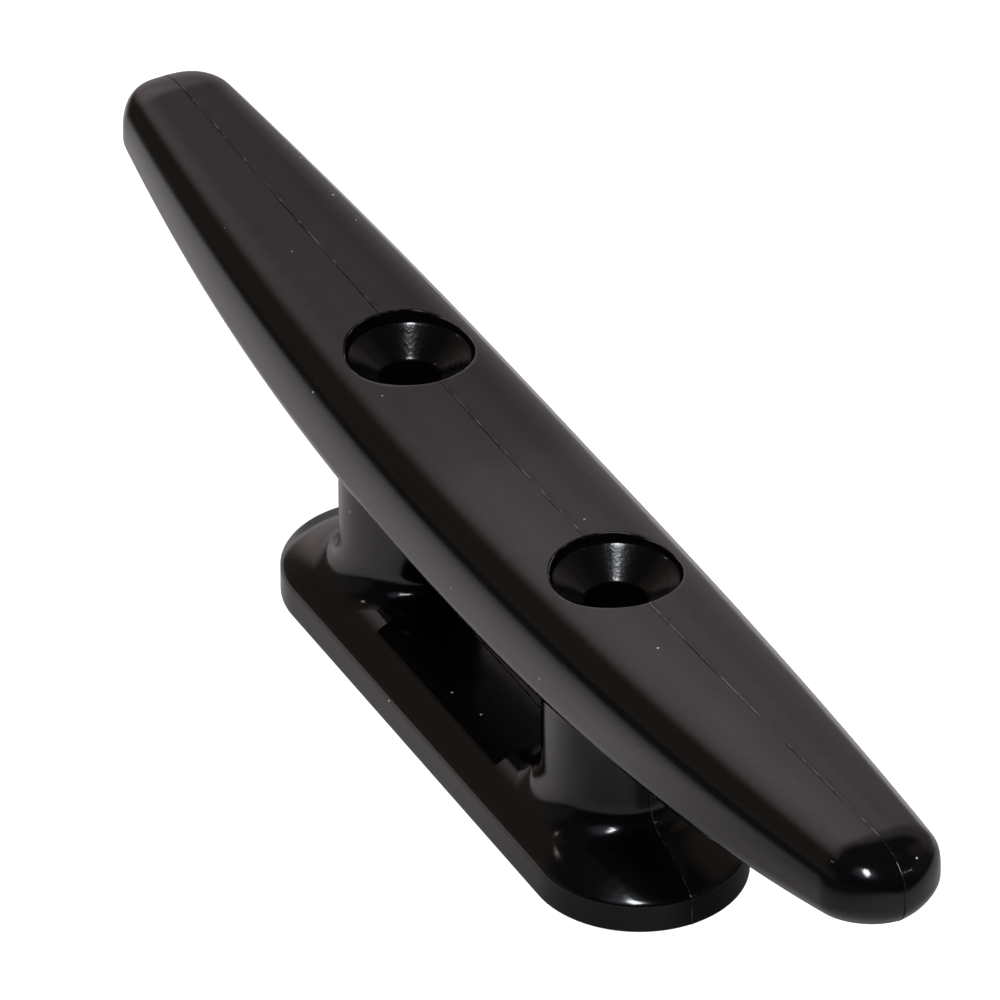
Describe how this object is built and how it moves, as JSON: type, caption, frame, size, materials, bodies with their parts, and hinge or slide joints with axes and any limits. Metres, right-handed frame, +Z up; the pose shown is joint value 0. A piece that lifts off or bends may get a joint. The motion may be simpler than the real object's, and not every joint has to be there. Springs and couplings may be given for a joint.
{
  "type": "horn cleat",
  "caption": "Black moulded nylon horn cleat: a long double-horned bar on round posts over a round-ended base, with countersunk screw holes through the posts.",
  "frame": {"origin": "centre of the base's flat underside, where it meets the deck", "axes": "+X along the bar towards the fore horn, +Y across the cleat, +Z up from the deck along the screw holes"},
  "size_m": [0.152, 0.0212, 0.0329],
  "materials": {
    "black_nylon": "injection-moulded black nylon: satin along the bar, glossy on the tips and base"
  },
  "bodies": {
    "root": {"horn_bar": "black_nylon", "fore_post": "black_nylon", "aft_post": "black_nylon", "base_plate": "black_nylon"}
  },
  "joints": []
}
